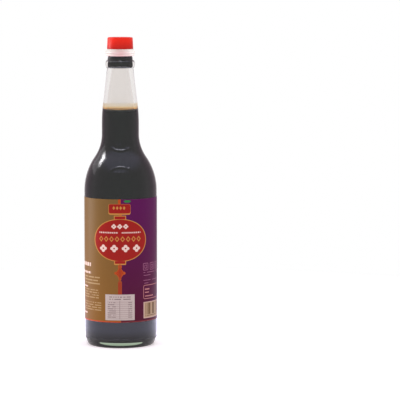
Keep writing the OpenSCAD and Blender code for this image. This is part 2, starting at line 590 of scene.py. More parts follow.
@dataclass(frozen=True)
class LabelPaper:
    """Coated label paper with its print: two fields of colour, a lantern and plain marks."""

    width: float
    height: float
    foot: float
    border_width: float = 1.1
    inks: Inks = field(default_factory=Inks)

    def make(self) -> bpy.types.Material:
        """The label's material."""
        recipe = Recipe("label_paper")
        across, up = recipe.sheet(self.width, self.height)
        art = Print(recipe, across, up + self.foot)
        colour = self.fields(recipe, art)
        for mask, ink in (*self.lantern(art), *self.marks(art)):
            colour = recipe.mix(mask, colour, ink)
        recipe.set(
            Base_Color=colour,
            Roughness=recipe.noise(500.0) * 0.10 + 0.36,
            Specular_IOR_Level=0.1,
        )
        recipe.bump(recipe.noise(1800.0, 3.0), 0.25, 0.02 * MM)
        return recipe.material

    def fields(self, recipe: Recipe, art: Print) -> bpy.types.NodeSocket:
        """Gold to the left and purple to the right, each warmer towards the foot."""
        inks = self.inks
        falling = art.up.under(85.0, 110.0)
        gold = recipe.mix(falling, inks.gold, inks.low_gold)
        purple = recipe.mix(falling, inks.purple, inks.low_purple)
        colour = recipe.mix(art.across.over(0.0), gold, purple)
        border = recipe.mix(art.across.over(0.0), inks.border, inks.low_border)
        return recipe.mix(art.up.under(self.foot + self.border_width), colour, border)

    def lantern(self, art: Print) -> list[tuple[Value, Colour]]:
        """The lantern from its cord down to its tassel: masks and inks in painting order."""
        inks = self.inks
        cord = art.block(-2.6, 0.0, 143.0, 148.4)
        stalk = art.block(-1.6, 1.0, 130.0, 134.0)
        plate = art.plate(-1.2, 138.2, 11.0, 5.3, 1.8)
        plate_red = art.plate(-1.1, 138.8, 10.7, 4.5, 1.5)
        top = art.plate(-0.7, 129.9, 6.0, 2.2, 0.4)
        top_red = art.plate(-0.7, 129.9, 5.2, 1.4, 0.2)
        body = art.oval(-0.6, 107.7, 27.9, 21.2)
        foot = art.plate(-0.7, 85.6, 5.9, 2.2, 0.9)
        foot_red = art.plate(-0.7, 85.9, 5.1, 1.3, 0.6)
        knot = art.diamond(-0.9, 75.2, 4.4, 6.4)
        knot = knot | art.disc(-5.0, 75.2, 1.4, 1.5) | art.disc(3.2, 75.2, 1.4, 1.5)
        knot = knot | art.disc(-0.9, 81.6, 1.9, 2.2) | art.disc(-0.9, 69.4, 1.4, 1.4)
        rising = ((art.across + art.up) % 1.5).under(0.4)
        lattice = rising | ((art.across - art.up) % 1.5).under(0.4)
        tassel = art.plate(-0.9, 60.5, 1.9, 6.9, 1.2) | art.block(-1.5, -0.3, 66.0, 84.0)
        strands = (art.across % 0.9).under(0.35) & art.block(-2.6, 0.8, 53.0, 66.0)
        return [
            (cord | stalk, inks.orange),
            (plate, inks.bright_gold),
            (plate_red, inks.red),
            (art.disc(6.6, 146.1, 3.6, 1.2), inks.green),
            (top | body.under(1.0, 0.006) | foot, inks.bright_gold),
            (top_red | body.under(0.966, 0.006) | foot_red, inks.red),
            (knot, inks.orange),
            (tassel, inks.tassel),
            (art.diamond(-0.9, 75.2, 3.6, 5.2) & lattice, inks.red),
            (strands, inks.red),
        ]

    def marks(self, art: Print) -> list[tuple[Value, Colour]]:
        """Plain stand-ins where a maker's words would be, as masks with their inks."""
        inks = self.inks
        lantern = Print(art.recipe, art.across + 0.9, art.up - 0.6)
        return [
            (self.gold_marks(lantern), inks.bright_gold),
            (self.lantern_marks(lantern), inks.cream),
            (self.left_blocks(art), inks.cream),
            (self.left_lines(art), inks.gold_small),
            (self.right_marks(art), inks.purple_small),
            (self.right_box(art), inks.rose),
            (art.block(24.0, 61.0, 29.2, 45.4), inks.panel_edge),
            (art.block(25.0, 61.0, 30.0, 44.8), inks.panel),
            (self.bar_panel(art), inks.bars),
        ]

    def gold_marks(self, art: Print) -> Value:
        """A row of lozenges on the plate and a row of outlined lozenges on the lantern."""
        pitch = 5.5
        cell = (art.across + 22.0) % pitch - pitch / 2
        slant = abs(cell) / 2.3 + abs(art.up - 108.3) / 2.9
        row = slant.under(1.0, 0.06) & slant.over(0.55, 0.06) & art.block(-22.0, 22.0, 105.0, 111.6)
        small = abs((art.across + 0.8) % 3.4 - 1.7) / 1.3 + abs(art.up - 139.0) / 1.9
        return row | (small.under(1.0, 0.1) & art.block(-7.6, 6.0, 137.0, 141.0))

    def lantern_marks(self, art: Print) -> Value:
        """The pale marks on the lantern: two rows of blossoms with dashes between them."""
        marks = self.blossoms(art, 5.9, 3, 120.7, 2.3)
        marks = marks | self.blossoms(art, 11.3, 4, 99.0, 3.5)
        dashes = ((art.across + 21.5) % 2.0).under(1.2) & art.block(-21.2, 21.2, 113.9, 115.3)
        return marks | (dashes & ~art.block(-1.5, 1.5, 112.0, 117.0))

    def blossoms(self, art: Print, pitch: float, count: int, height: float, size: float) -> Value:
        """A row of open four-petalled blossoms.

        Args:
            art: The sheet.
            pitch: Distance from blossom to blossom.
            count: How many there are.
            height: Height of the row's middle.
            size: Half of a blossom's height.

        Returns:
            The mask.
        """
        half = count * pitch / 2
        cell = Print(art.recipe, (art.across + half) % pitch - pitch / 2, art.up)
        petal = size * 0.52
        long, short, eye_r, room = petal * 1.1, petal * 0.9, petal * 0.45, size * 1.2
        side = cell.disc(petal, height, long, short) | cell.disc(-petal, height, long, short)
        above = cell.disc(0.0, height + petal, petal, petal)
        below = cell.disc(0.0, height - petal, petal, petal)
        eye = cell.disc(0.0, height, eye_r, eye_r)
        return (side | (above | below)) & ~eye & art.block(-half, half, height - room, height + room)

    def left_blocks(self, art: Print) -> Value:
        """Bold blocks and headings on the gold."""
        marks = art.block(-64.0, -34.6, 80.4, 84.0) & (art.across % 5.4).over(1.2)
        marks = marks | (art.block(-64.0, -34.6, 73.0, 75.2) & (art.across % 3.6).over(0.9))
        return marks | art.block(-60.0, -40.5, 59.4, 60.6) | art.block(-58.0, -42.0, 33.0, 34.4)

    def left_lines(self, art: Print) -> Value:
        """Three groups of small lines on the gold."""
        marks = art.lines(-70.0, -21.8, 70.6, 3, 3.1, 3.0)
        marks = marks | art.lines(-70.0, -23.4, 57.8, 4, 2.5, 17.0)
        return marks | art.lines(-70.0, -20.4, 45.4, 4, 2.4, 31.0)

    def right_marks(self, art: Print) -> Value:
        """Three small signs and lines on the purple."""
        marks = art.lines(24.0, 62.0, 75.0, 1, 1.2, 5.0)
        marks = marks | art.lines(24.0, 34.0, 72.2, 1, 1.2, 9.0)
        for middle in (27.0, 36.6, 46.2):
            sign = art.frame(middle, 80.5, 3.4, 3.6, 0.8, 0.5)
            marks = marks | (sign | art.frame(middle, 80.5, 1.6, 1.8, 0.3, 0.5))
        marks = marks | art.lines(24.0, 62.0, 67.2, 1, 1.2, 12.0)
        return marks | art.lines(25.0, 33.0, 64.4, 1, 1.2, 15.0)

    def right_box(self, art: Print) -> Value:
        """An outlined box with three short bold lines in it."""
        marks = art.frame(44.0, 55.3, 20.2, 7.0, 1.6, 0.6) | art.block(25.8, 32.2, 57.4, 58.7)
        return marks | art.block(25.8, 31.4, 54.4, 55.4) | art.block(25.8, 38.5, 50.7, 51.7)

    def bar_panel(self, art: Print) -> Value:
        """Upright bars of plainly uneven width on the pale panel, with a row of dashes under them."""
        bars = (
            (26.6, 27.2), (28.5, 29.3), (30.3, 33.8), (36.8, 40.9),
            (43.6, 44.6), (47.0, 50.0), (53.0, 57.0),
        )
        marks = art.lines(26.5, 56.0, 32.0, 1, 1.8, 41.0)
        for left, right in bars:
            marks = marks | art.block(left, right, 32.8, 44.2)
        return marks


@dataclass(frozen=True)
class StickerPaper:
    """Uncoated white sticker paper with a plain grey table of rules and dashes."""

    width: float
    height: float
    margin: float = 2.1
    pitch: float = 2.08
    grid_low: float = 1.3
    grid_below_top: float = 6.2
    paper: Colour = tone(176, 160, 150)
    grey: Colour = tone(104, 86, 84)

    def make(self) -> bpy.types.Material:
        """The sticker's material."""
        recipe = Recipe("sticker_paper")
        across, up = recipe.sheet(self.width, self.height)
        art = Print(recipe, across, up)
        rules = self.table(art)
        darker = tuple(0.9 * c for c in self.paper)
        shade = recipe.mix(recipe.noise(300.0) * 0.3, self.paper, darker)
        recipe.set(
            Base_Color=recipe.mix(rules * 0.9, shade, self.grey),
            Roughness=recipe.noise(700.0) * 0.1 + 0.6,
            Specular_IOR_Level=0.1,
        )
        recipe.bump(recipe.noise(2200.0, 3.0), 0.3, 0.02 * MM)
        return recipe.material

    def table(self, art: Print) -> Value:
        """A heading of dashes, a grid of fine rules and short dashes in its rows."""
        left = self.margin - self.width / 2
        right = self.width / 2 - self.margin
        low, high, pitch = self.grid_low, self.height - self.grid_below_top, self.pitch
        head = art.lines(left + 2.0, right - 2.0, self.height - 2.0, 2, 2.2, 2.0)
        rule = ((art.up - 1.4) % pitch).under(0.28) & art.block(left, right, low, high)
        middle = art.block(-0.35, 0.05, low, high)
        words = art.lines(left + 0.4, -4.0, 18.0, 8, pitch, 8.0)
        words = words | art.lines(8.2, right - 0.6, 18.0, 8, pitch, 13.0)
        return head | (rule * 0.75) | middle | (words * 0.7)


# Shapes


def arc(
    centre: tuple[float, float], across: float, up: float, start: float, end: float, steps: int
) -> Outline:
    """Points along an arc in the XZ plane.

    Args:
        centre: The arc's centre, out from the axis and up.
        across: Radius across.
        up: Radius up.
        start: Angle of the first point, in degrees.
        end: Angle of the last point, in degrees.
        steps: How many pieces the arc has.

    Returns:
        The points in order.
    """
    out, height = centre
    angles = (math.radians(start + (end - start) * i / steps) for i in range(steps + 1))
    return [Vector((out + across * math.cos(a), 0.0, height + up * math.sin(a))) for a in angles]


def soften(before: Vector, corner: Vector, after: Vector, cut: float, steps: int) -> Outline:
    """A corner rounded by a curve.

    Args:
        before: The point before the corner.
        corner: The corner.
        after: The point after it.
        cut: How far from the corner the curve may start and end.
        steps: How many pieces the curve has.

    Returns:
        The curve's points in order.
    """
    reach = min(cut, 0.49 * (before - corner).length, 0.49 * (after - corner).length)
    start = corner + (before - corner).normalized() * reach
    end = corner + (after - corner).normalized() * reach
    shares = (i / steps for i in range(steps + 1))
    return [start * (1 - t) ** 2 + corner * (2 * t * (1 - t)) + end * t**2 for t in shares]


def denser(outline: Outline, step: float) -> Outline:
    """The same outline with points added on its long straights.

    Args:
        outline: Points in order.
        step: The longest piece that may stay, in metres.

    Returns:
        The points in order.
    """
    filled = outline[:1]
    for start, end in zip(outline, outline[1:]):
        pieces = max(1, math.ceil((end - start).length / step))
        filled += [start.lerp(end, i / pieces) for i in range(1, pieces + 1)]
    return filled


def at(out: float, up: float) -> Vector:
    """The outline point that is out from the axis and up."""
    return Vector((out, 0.0, up))


def spun(name: str, outline: Outline, steps: int) -> bpy.types.Object:
    """Turns an outline round the bottle's axis.

    Args:
        name: The piece's name.
        outline: Points in the XZ plane, in order.
        steps: How many steps make the full turn.

    Returns:
        The piece, with closed poles and its faces outwards.
    """
    shape = bmesh.new()
    points = [shape.verts.new(point) for point in outline]
    edges = [shape.edges.new(pair) for pair in zip(points, points[1:])]
    bmesh.ops.spin(
        shape, geom=points + edges, cent=(0, 0, 0), axis=(0, 0, 1), dvec=(0, 0, 0),
        angle=TURN, steps=steps, use_merge=True, use_normal_flip=False, use_duplicate=False,
    )
    bmesh.ops.remove_doubles(shape, verts=shape.verts, dist=0.002 * MM)
    bmesh.ops.recalc_face_normals(shape, faces=shape.faces)
    return piece(name, shape)


def piece(name: str, shape: bmesh.types.BMesh) -> bpy.types.Object:
    """Makes an object of a shape, smooth except at its sharp edges, and frees the shape.

    Args:
        name: The piece's name.
        shape: The finished mesh.

    Returns:
        The object, in the scene.
    """
    mesh = bpy.data.meshes.new(name)
    for face in shape.faces:
        face.smooth = True
    for edge in shape.edges:
        edge.smooth = edge.calc_face_angle(0.0) < SHARP
    shape.to_mesh(mesh)
    shape.free()
    made = bpy.data.objects.new(name, mesh)
    bpy.context.scene.collection.objects.link(made)
    return made


def finish_piece(
    made: bpy.types.Object, material: bpy.types.Material, slot: Slot, *nodes: str
) -> bpy.types.Object:
    """Dresses a piece and hands it to the frame.

    Args:
        made: The piece.
        material: Its material.
        slot: The record's slot for it; not used.
        nodes: The CAD nodes that it stands for.

    Returns:
        The piece.
    """
    made.data.materials.append(material)
    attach(made, BODY)
    if nodes:
        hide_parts(*nodes)
    faces = len(made.data.polygons)
    LOG.info("%s: %d faces, stands for %s", made.name, faces, nodes or "no node")
    return made


# Sub-assemblies


@dataclass
class GlassBottle:
    """The glass: its outside, its inside, the studs round its heel and its shoulder's relief.

    A crescent is its middle height, its sag, half its length and its rise, and a bead is its
    place across and its height. Both are in millimetres, and a rise is a share of relief.
    """

    wall: float = 2.8 * MM
    base: float = 5.5 * MM
    bearing: float = 31.2 * MM
    bearing_width: float = 2.7 * MM
    heel: float = 18.0 * MM
    inner_heel_share: float = 0.55
    push_up: float = 3.5 * MM
    body_top: float = 154.0 * MM
    shoulder: float = 56.0 * MM
    convex_share: float = 0.6
    neck: float = 18.45 * MM
    neck_wall: float = 2.9 * MM
    neck_foot: float = 19.7 * MM
    neck_taper: float = 45.8 * MM
    neck_top: float = 13.0 * MM
    neck_soften: float = 18.0 * MM
    bore: float = 8.15 * MM
    bead: float = 7.6 * MM
    bead_out: float = 1.7 * MM
    throat: float = 11.7 * MM
    lip: float = 13.3 * MM
    lip_height: float = 5.4 * MM
    edge: float = 0.4 * MM
    stud_height: float = 0.55 * MM
    stud_z: float = 8.0 * MM
    stud_width: float = 0.55 * MM
    relief: float = 0.5 * MM
    relief_from: float = 0.4
    crescents: tuple[tuple[float, float, float, float], ...] = (
        (194.8, 2.6, 8.6, 1.5), (179.2, -2.8, 9.6, 1.0),
    )
    crescent_width: float = 0.75 * MM
    crescent_end: float = 1.12
    crescent_soft: float = 0.12
    beads: tuple[tuple[float, float], ...] = (
        (-3.1, 200.2), (-0.3, 200.2), (5.9, 197.0),
        (-5.2, 174.0), (-1.5, 174.0), (2.6, 174.0), (8.4, 178.0),
    )
    bead_size: float = 0.8 * MM
    bead_rise: float = 1.5
    longest: float = 3.5 * MM

    def __post_init__(self) -> None:
        """Takes the body's radius and the mouth's height from the frame."""
        low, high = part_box("glass_bottle")
        self.body = (high.x - low.x) / 2
        self.mouth_z = high.z
        self.shoulder_top = self.body_top + self.shoulder
        self.taper_z = self.shoulder_top + self.neck_foot
        self.bead_z = self.taper_z + self.neck_taper
        self.lip_z = self.mouth_z - self.lip_height

    def shoulder_line(self, depth: float, steps: tuple[int, int]) -> Outline:
        """The shoulder's two arcs at a depth inside the glass."""
        drop = self.body - self.neck
        both = (drop * drop + self.shoulder * self.shoulder) / (2 * drop)
        turn = math.degrees(math.asin(self.shoulder / both))
        convex = both * self.convex_share
        concave = both - convex
        lower_r = convex - depth
        upper_r = concave + depth
        below = (self.body - convex, self.body_top)
        above = (self.neck + concave, self.shoulder_top)
        lower = arc(below, lower_r, lower_r, 0, turn, steps[0])
        upper = arc(above, upper_r, upper_r, 180 + turn, 180, steps[1])
        return lower + upper[1:]

    def outside(self) -> Outline:
        """The outside, from the middle of the base out and up to the mouth."""
        dome = self.bearing - self.bearing_width
        neck = (
            at(self.neck, self.shoulder_top),
            at(self.neck, self.taper_z),
            at(self.neck_top, self.bead_z),
        )
        bead_middle = (self.neck_top, self.bead_z + self.bead / 2)
        edge = self.edge
        return [
            *arc((0.0, 0.0), dome, self.push_up, 90, 0, 10),
            *arc((self.bearing, self.heel), self.body - self.bearing, self.heel, -90, 0, 44),
            *self.shoulder_line(0.0, (52, 30)),
            *soften(*neck, self.neck_soften, 16),
            *arc(bead_middle, self.bead_out, self.bead / 2, -90, 90, 14),
            at(self.throat, self.lip_z),
            *arc((self.lip - edge, self.lip_z + edge), edge, edge, -90, 0, 3),
            *arc((self.lip - 2 * edge, self.mouth_z - 2 * edge), 2 * edge, 2 * edge, 0, 90, 4),
        ]

    def inside(self, reach: float = 0.0) -> Outline:
        """The inside, from the middle of the floor out and up to the mouth.

        Args:
            reach: How far the line lies out in the wall, for what fills the glass.

        Returns:
            The points in order.
        """
        floor = self.bearing - self.wall
        floor_z = self.base - reach
        heel = self.base + (self.heel - self.base) * self.inner_heel_share
        out = self.body - self.wall + reach
        foot = at(self.neck - self.neck_wall + reach, self.shoulder_top)
        bend = at(self.neck - self.neck_wall + reach, self.taper_z)
        throat = at(self.bore + reach, self.bead_z)
        mouth = at(self.bore + reach, self.mouth_z)
        return [
            *arc((0.0, floor_z), floor, self.push_up, 90, 0, 10),
            *arc((floor, heel), out - floor, heel - floor_z, -90, 0, 14),
            *[p for p in self.shoulder_line(self.wall - reach, (14, 12)) if p.x > foot.x],
            *soften(foot, bend, throat, self.neck_soften, 14),
            *soften(bend, throat, mouth, self.bore / 2, 8),
        ]

    def lift(self, angle: float, radius: float, height: float) -> float:
        """How far the moulded studs and relief raise the surface at a point.

        Args:
            angle: Angle round the axis from the front, positive to the right.
            radius: The point's distance from the axis.
            height: The point's height.

        Returns:
            The rise along the normal, in metres.
        """
        near = math.exp(-(((height - self.stud_z) / self.stud_width) ** 2))
        rise = self.stud_height * near * max(0.0, math.cos(angle * STUDS_ROUND))
        return rise + self.relief * self.shoulder_relief(angle * radius, height)

    def shoulder_relief(self, across: float, height: float) -> float:
        """How high two facing crescents and a few beads stand at a point of the shoulder.

        Args:
            across: Distance round the glass from the front, positive to the right.
            height: The point's height.

        Returns:
            The rise, as a share of the relief's depth.
        """
        found = 0.0
        for middle, sag, half, rise in self.crescents:
            share = across / (half * MM)
            end = min(1.0, max(0.0, (self.crescent_end - abs(share)) / self.crescent_soft))
            if end > 0:
                off = (height - (middle + sag * share * share) * MM) / self.crescent_width
                found = max(found, rise * end * math.exp(-off * off))
        for x, z in self.beads:
            off = math.hypot(across - x * MM, height - z * MM) / self.bead_size
            found = max(found, self.bead_rise * math.exp(-off * off))
        return found

    def build(self) -> bpy.types.Object:
        """Makes the glass, with its relief in the mesh."""
        edge = self.edge
        rim = arc((self.bore + edge, self.mouth_z - edge), edge, edge, 90, 180, 4)
        outline = [*self.outside(), *rim, *reversed(self.inside())]
        made = spun("glass_bottle_clear", denser(outline, self.longest), STEPS_ROUND)
        self.raise_relief(made.data)
        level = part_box("soy_sauce")[1].z
        return finish_piece(made, ClearGlass(level / MM).make(), Slot.GLASS, "glass_bottle")

    def raise_relief(self, mesh: bpy.types.Mesh) -> None:
        """Pushes the outer surface out along its normals where there is relief."""
        shape = bmesh.new()
        shape.from_mesh(mesh)
        shape.normal_update()
        moves = []
        for vert in shape.verts:
            radius = math.hypot(vert.co.x, vert.co.y)
            outward = vert.normal.x * vert.co.x + vert.normal.y * vert.co.y
            low_enough = vert.co.z < self.shoulder_top
            if outward > 0 and low_enough and radius > self.body * self.relief_from:
                angle = math.atan2(vert.co.x, -vert.co.y)
                moves.append((vert, vert.normal * self.lift(angle, radius, vert.co.z)))
        for vert, move in moves:
            vert.co += move
        shape.to_mesh(mesh)
        shape.free()


@dataclass
class Sauce:
    """The sauce: a dark bulk, the amber edge that climbs the glass and the plug in the mouth."""

    glass: GlassBottle
    reach: float = 0.12 * MM
    film_reach: float = 0.03 * MM
    climb: float = 0.6 * MM
    curl: float = 0.3 * MM
    thinning: float = 6.0
    film_height: float = 6.5 * MM
    drip_height: float = 1.6 * MM
    film: float = 0.55 * MM
    film_points: tuple[float, ...] = (
        1.0, 0.84, 0.7, 0.57, 0.46, 0.36, 0.27, 0.19, 0.12, 0.07, 0.035, 0.015, 0.006,
    )
    film_density: float = 4200.0
    drip_density: float = 500.0
    bulk_below: float = 0.25 * MM
    drip_up: float = 1.2 * MM
    plug_up: float = 2.2 * MM
    steps: int = 160
    plug_steps: int = 128

    def __post_init__(self) -> None:
        """Takes the levels from the frame."""
        self.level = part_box("soy_sauce")[1].z
        low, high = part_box("clinging_sauce")
        self.cling_low = low.z
        self.cling_high = high.z

    def wall_at(self, height: float, reach: float) -> float:
        """The inside radius at a height, widened by reach."""
        line = self.glass.inside(reach)
        for low, high in zip(line, line[1:]):
            if low.z <= height <= high.z and high.z > self.glass.heel:
                share = (height - low.z) / max(high.z - low.z, 1e-9)
                return low.x + (high.x - low.x) * share
        return self.glass.bore + reach

    def cut(self, low: float, high: float, reach: float) -> Outline:
        """The inside's outline between two heights, widened by reach."""
        line = [p for p in self.glass.inside(reach) if low < p.z < high]
        ends = [] if low <= self.glass.heel else [at(self.wall_at(low, reach), low)]
        return [*ends, *line, at(self.wall_at(high, reach), high)]

    def curl_line(self, level: float, sign: float) -> Outline:
        """The liquid's edge: a film up the glass that curls into the flat level.

        Args:
            level: Height of the flat level.
            sign: 1 where it climbs above the level and -1 where it hangs below.

        Returns:
            Points from the film's tip to the level, ending near the axis.
        """
        line = []
        tip = self.film_height if sign > 0 else self.drip_height
        for share in self.film_points:
            rise = share * tip
            height = level + sign * rise
            thin = self.film * math.exp(-self.thinning * share)
            bend = self.curl * math.log(self.climb / rise) if rise < self.climb else 0.0
            line.append(at(self.wall_at(height, 0.0) - thin - bend, height))
        return line

    def build(self) -> list[bpy.types.Object]:
        """Makes the dark bulks and their amber edges."""
        dark = DarkSauce().make()
        thin = ThinSauce("thin_sauce", self.film_density).make()
        hanging = ThinSauce("hanging_sauce", self.drip_density).make()
        below = self.level - self.bulk_below
        whole = [*self.cut(-1.0, below, self.reach), at(0.0, below)]
        bulk = spun("sauce_bulk", whole, self.steps)
        edge = self.edge_ring("sauce_amber_edge", self.level, below, 1.0)
        above = self.cling_low + self.plug_up
        top = self.cling_high
        cling = [at(0.0, above), *self.cut(above, top, self.reach), at(0.0, top)]
        plug = spun("sauce_in_mouth", cling, self.plug_steps)
        drip_level = self.cling_low + self.drip_up
        drip = self.edge_ring("sauce_in_mouth_edge", drip_level, above, -1.0)
        return [
            finish_piece(bulk, dark, Slot.SAUCE, "soy_sauce"),
            finish_piece(edge, thin, Slot.SAUCE),
            finish_piece(plug, dark, Slot.SAUCE, "clinging_sauce"),
            finish_piece(drip, hanging, Slot.SAUCE),
        ]

    def edge_ring(self, name: str, level: float, meets: float, sign: float) -> bpy.types.Object:
        """A thin disc of sauce whose edge climbs the glass as a film.

        Args:
            name: The piece's name.
            level: Height of its flat face.
            meets: Height where it lies against the dark bulk.
            sign: 1 where the edge climbs up and -1 where it hangs down.

        Returns:
            The piece.
        """
        curl = self.curl_line(level, sign)
        tip = curl[0].z
        low, high = sorted((meets, tip))
        wall = self.cut(low, high, self.film_reach)
        if sign < 0:
            wall.reverse()
        return spun(name, [at(0.0, meets), *wall, *curl, at(0.0, level)], self.steps)


@dataclass
class PourCollar:
    """The white fitment: a grooved collar over the lip, its plug in the bore and its spout."""

    glass: GlassBottle
    wall: float = 1.4 * MM
    deck: float = 1.0 * MM
    hook_in: float = 1.2 * MM
    rim: float = 2.5 * MM
    rim_in: float = 1.6 * MM
    rim_out: float = 1.2 * MM
    rim_up: float = 1.5 * MM
    groove_in: float = 0.15 * MM
    bulge: float = 0.9 * MM
    bulge_up: float = 1.3 * MM
    spout_wall: float = 1.2 * MM
    spout: float = 10.6 * MM
    spout_edge: float = 0.3 * MM
    edge: float = 0.4 * MM
    steps: int = 144

    def __post_init__(self) -> None:
        """Takes the fitment's heights from the frame."""
        low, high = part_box("pour_collar")
        self.foot_z = low.z
        self.spout_z = high.z
        self.deck_z = self.glass.mouth_z + self.deck
        self.plug_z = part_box("clinging_sauce")[1].z
        self.out = (high.x - low.x) / 2

    def build(self) -> bpy.types.Object:
        """Makes the fitment in one turn."""
        lip = self.glass.lip
        bore = self.glass.bore
        mouth = self.glass.mouth_z
        edge = self.edge
        groove = self.foot_z + self.rim
        inner = bore - self.spout_wall
        floor = self.plug_z + self.spout_wall
        rim_middle = (self.out - self.rim_in, self.foot_z + self.rim_up)
        bulge_middle = (self.out - self.bulge, groove + self.bulge_up)
        tip = self.spout_edge
        outline = [
            at(lip - self.hook_in, self.foot_z),
            *arc(rim_middle, self.rim_out, self.rim_up, -80, 42, 14),
            at(self.out - self.bulge - self.groove_in, groove),
            *arc(bulge_middle, self.bulge, self.bulge_up, -62, 30, 14),
            *arc((lip - edge, self.deck_z - 2 * edge), 2 * edge, 2 * edge, 20, 90, 6),
            at(self.spout, self.deck_z),
            *arc((self.spout - tip, self.spout_z - tip), tip, tip, 0, 90, 3),
            at(self.spout - self.spout_wall, self.spout_z),
            at(self.spout - self.spout_wall, self.deck_z),
            at(inner, self.deck_z),
            at(inner, floor),
            at(0.0, floor),
            at(0.0, self.plug_z),
            at(bore, self.plug_z),
            *arc((bore + edge, mouth - edge), edge, edge, 180, 90, 4),
            *reversed(arc((lip - 2 * edge, mouth - 2 * edge), 2 * edge, 2 * edge, 0, 90, 4)),
            at(lip, self.glass.lip_z),
            at(lip - self.hook_in, self.glass.lip_z),
            at(lip - self.hook_in, self.foot_z),
        ]
        made = spun("pour_collar_white", outline, self.steps)
        # A little darker at the foot: painted shade.
        plastic = MouldedPlastic(
            "white_plastic", tone(244, 208, 203), tone(239, 195, 190), self.foot_z, self.deck_z,
            roughness=0.4, glow=0.1, clear=0.2,
        )
        return finish_piece(made, plastic.make(), Slot.WHITE, "pour_collar")


@dataclass
class RedCap:
    """The red cap: a drafted cup with a rounded top edge, a dished top and a moulding gate."""

    draft: float = 0.5 * MM
    wall: float = 1.6 * MM
    round_top: float = 1.1 * MM
    dish: float = 0.35 * MM
    dish_in: float = 2.4 * MM
    gate: float = 1.1 * MM
    gate_dip: float = 1.6
    edge: float = 0.4 * MM
    steps: int = 144

    def build(self) -> bpy.types.Object:
        """Makes the cap in one turn."""
        low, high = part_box("cap")
        foot = (high.x - low.x) / 2
        top = foot - self.draft
        inside = top - self.wall
        roof = high.z - self.wall
        edge, bend, dish = self.edge, self.round_top, self.dish
        dish_r = top - self.dish_in
        dish_z = high.z - dish
        gate_z = high.z - self.gate_dip * dish
        dish_lip = (at(top - bend, high.z), at(dish_r + dish, high.z), at(dish_r, dish_z))
        outline = [
            at(0.0, roof),
            at(inside, roof),
            at(inside, low.z),
            *arc((foot - edge, low.z + edge), edge, edge, -90, 0, 4),
            *arc((top - bend, high.z - bend), bend, bend, 0, 90, 10),
            *soften(*dish_lip, dish, 4),
            at(dish_r - dish, dish_z),
            at(self.gate + dish, dish_z),
            at(self.gate, gate_z),
            at(0.0, gate_z),
        ]
        made = spun("cap_red", outline, self.steps)
        # Bright red at the top and darker red at the foot: the darker foot is painted shade.
        plastic = MouldedPlastic(
            "red_plastic", tone(240, 44, 26), tone(182, 28, 22), low.z, high.z,
            roughness=0.34, glow=0.1,
        )
        return finish_piece(made, plastic.make(), Slot.RED, "cap")


@dataclass
class PaperSheet:
    """A sheet of paper stuck round the bottle, cut flat and then wrapped.

    Where it overlaps itself, the sheet starts to rise lap_from overlaps before its end. It
    takes lap_rise overlaps to do so and then lies lap_up thicknesses further out.
    """

    name: str
    node: str
    inner: float
    thick: float
    low: float
    high: float
    width: float
    columns: int
    rows: int
    turned: float = 0.0
    overlap: float = 0.0
    lap_from: float = 1.6
    lap_rise: float = 0.6
    lap_up: float = 1.05

    def build(self, material: bpy.types.Material, slot: Slot) -> bpy.types.Object:
        """Cuts the sheet, gives it its own coordinates, wraps it and thickens it.

        Args:
            material: The paper's material.
            slot: The record's slot for it.

        Returns:
            The sheet.
        """
        shape = bmesh.new()
        bmesh.ops.create_grid(shape, x_segments=self.columns, y_segments=self.rows, size=0.5)
        own = shape.loops.layers.uv.new(SHEET_MAP)
        for face in shape.faces:
            for loop in face.loops:
                loop[own].uv = (loop.vert.co.x + 0.5, loop.vert.co.y + 0.5)
        for vert in shape.verts:
            vert.co = self.wrapped(vert.co.x + 0.5, vert.co.y + 0.5)
        bmesh.ops.recalc_face_normals(shape, faces=shape.faces)
        self.thicken(shape)
        made = piece(self.name, shape)
        return finish_piece(made, material, slot, self.node)

    def wrapped(self, right: float, up: float) -> Vector:
        """Where a point of the flat sheet lies on the bottle.

        Args:
            right: Share of the sheet's width.
            up: Share of its height.

        Returns:
            The point on the sheet's inner face.
        """
        across = (right - 0.5) * self.width
        height = self.low + up * (self.high - self.low)
        lap = 0.0
        if self.overlap:
            start = self.width / 2 - self.lap_from * self.overlap
            lap = min(1.0, max(0.0, (across - start) / (self.lap_rise * self.overlap)))
        radius = self.inner + self.lap_up * self.thick * lap * lap * (3 - 2 * lap)
        angle = across / self.inner + self.turned
        return Vector((radius * math.sin(angle), -radius * math.cos(angle), height))

    def thicken(self, shape: bmesh.types.BMesh) -> None:
        """Gives the sheet its thickness, outwards."""
        for face in shape.faces:
            middle = face.calc_center_median()
            if face.normal.x * middle.x + face.normal.y * middle.y < 0:
                face.normal_flip()
        bmesh.ops.solidify(shape, geom=shape.faces[:], thickness=-self.thick)
        bmesh.ops.recalc_face_normals(shape, faces=shape.faces)


def wrap_label() -> bpy.types.Object:
    """Makes the label that goes all round, with its glued overlap at the back."""
    low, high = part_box("wrap_label")
    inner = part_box("glass_bottle")[1].x + GLUE
    overlap = 7.0 * MM
    around = TURN * inner + overlap
    thick = high.x - inner - GLUE
    # The sheet's middle stays at the front, so both of its ends lie half the overlap past the back.
    sheet = PaperSheet(
        "wrap_label_paper", "wrap_label", inner, thick, low.z, high.z, around,
        columns=240, rows=24, overlap=overlap,
    )
    paper = LabelPaper(around / MM, (high.z - low.z) / MM, low.z / MM)
    return sheet.build(paper.make(), Slot.LABEL)


def facts_sticker() -> bpy.types.Object:
    """Makes the small sticker on the front of the label."""
    low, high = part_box("facts_sticker")
    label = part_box("wrap_label")[1].x
    left, right = math.asin(low.x / -low.y), math.asin(high.x / -low.y)
    thick = -low.y - label
    width = (right - left) * label
    turned = (left + right) / 2
    sheet = PaperSheet(
        "facts_sticker_paper", "facts_sticker", label, thick, low.z, high.z, width,
        columns=24, rows=8, turned=turned,
    )
    paper = StickerPaper(width / MM, (high.z - low.z) / MM)
    return sheet.build(paper.make(), Slot.STICKER)


# Studio


